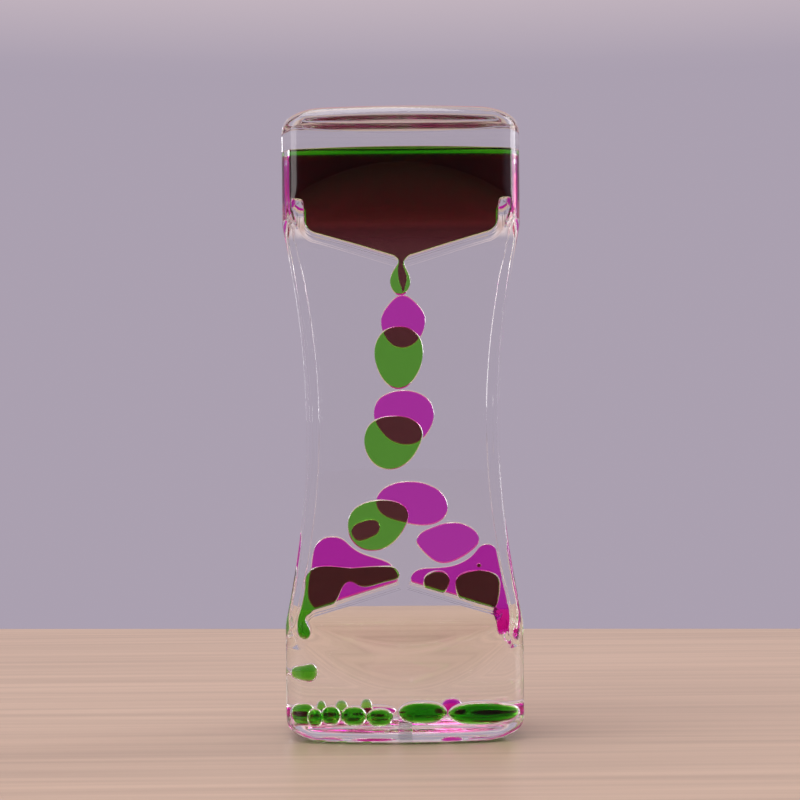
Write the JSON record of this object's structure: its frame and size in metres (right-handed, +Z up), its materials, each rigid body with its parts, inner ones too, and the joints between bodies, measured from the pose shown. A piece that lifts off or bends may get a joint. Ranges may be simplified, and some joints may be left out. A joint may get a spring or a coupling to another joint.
{
  "type": "liquid motion timer",
  "caption": "Clear hourglass-shaped liquid motion timer: two flat oil-filled chambers side by side in depth, with funnels, dripping dyed water and a flat base at either end.",
  "frame": {"origin": "middle of the base, on the surface it stands on", "axes": "+Z up, +X to the right seen from the front, the front faces -Y"},
  "size_m": [0.05, 0.032, 0.132],
  "materials": {
    "clear_casing": "gloss",
    "clear_insert": "gloss",
    "plug": "satin",
    "clear_oil": "gloss",
    "green_water": "gloss",
    "magenta_water": "gloss"
  },
  "bodies": {
    "casing": {"front_shell": "clear_casing", "rear_shell": "clear_casing", "divider_plate": "clear_insert", "front_upper_left_wing": "clear_insert", "front_upper_right_wing": "clear_insert", "front_lower_left_wing": "clear_insert", "front_lower_right_wing": "clear_insert", "rear_upper_left_wing": "clear_insert", "rear_upper_right_wing": "clear_insert", "rear_lower_left_wing": "clear_insert", "rear_lower_right_wing": "clear_insert", "front_fill_plug": "plug", "rear_fill_plug": "plug", "front_clear_oil": "clear_oil", "rear_clear_oil": "clear_oil", "green_top_pool": "green_water", "green_neck_drop": "green_water", "green_left_roof_puddle": "green_water", "green_right_roof_puddle": "green_water", "green_side_trickle": "green_water", "green_floor_drops": "green_water", "magenta_top_pool": "magenta_water", "magenta_neck_drop": "magenta_water", "magenta_landing_drop": "magenta_water", "magenta_left_roof_puddle": "magenta_water", "magenta_right_roof_puddle": "magenta_water", "magenta_side_trickle": "magenta_water", "magenta_floor_drops": "magenta_water"},
    "green_upper_drop": {"green_upper_drop": "green_water"},
    "green_middle_drop": {"green_middle_drop": "green_water"},
    "green_lower_drop": {"green_lower_drop": "green_water"},
    "magenta_upper_drop": {"magenta_upper_drop": "magenta_water"},
    "magenta_middle_drop": {"magenta_middle_drop": "magenta_water"},
    "magenta_lower_drop": {"magenta_lower_drop": "magenta_water"},
    "magenta_small_drop": {"magenta_small_drop": "magenta_water"},
    "green_side_bead": {"green_side_bead": "green_water"}
  },
  "joints": [
    {"name": "green_upper_drop_fall", "type": "slide", "parent": "casing", "child": "green_upper_drop", "axis": [0, 0, -1], "range_m": [-0.0055, 0.0025], "deforming": ["front_clear_oil"]},
    {"name": "green_middle_drop_fall", "type": "slide", "parent": "casing", "child": "green_middle_drop", "axis": [0, 0, -1], "range_m": [-0.0025, 0.0028], "deforming": ["front_clear_oil"]},
    {"name": "green_lower_drop_fall", "type": "slide", "parent": "casing", "child": "green_lower_drop", "axis": [0, 0, -1], "range_m": [-0.0028, 0.0022], "deforming": ["front_clear_oil"]},
    {"name": "magenta_upper_drop_fall", "type": "slide", "parent": "casing", "child": "magenta_upper_drop", "axis": [0, 0, -1], "range_m": [0, 0.0042], "deforming": ["rear_clear_oil"]},
    {"name": "magenta_middle_drop_fall", "type": "slide", "parent": "casing", "child": "magenta_middle_drop", "axis": [0, 0, -1], "range_m": [-0.0035, 0.0032], "deforming": ["rear_clear_oil"]},
    {"name": "magenta_lower_drop_fall", "type": "slide", "parent": "casing", "child": "magenta_lower_drop", "axis": [0, 0, -1], "range_m": [-0.0032, 0.0003], "deforming": ["rear_clear_oil"]},
    {"name": "magenta_small_drop_fall", "type": "slide", "parent": "casing", "child": "magenta_small_drop", "axis": [0, 0, -1], "range_m": [-0.0012, 0.0008], "deforming": ["rear_clear_oil"]},
    {"name": "green_side_bead_fall", "type": "slide", "parent": "casing", "child": "green_side_bead", "axis": [0, 0, -1], "range_m": [0, 0.002], "deforming": ["front_clear_oil"]}
  ]
}
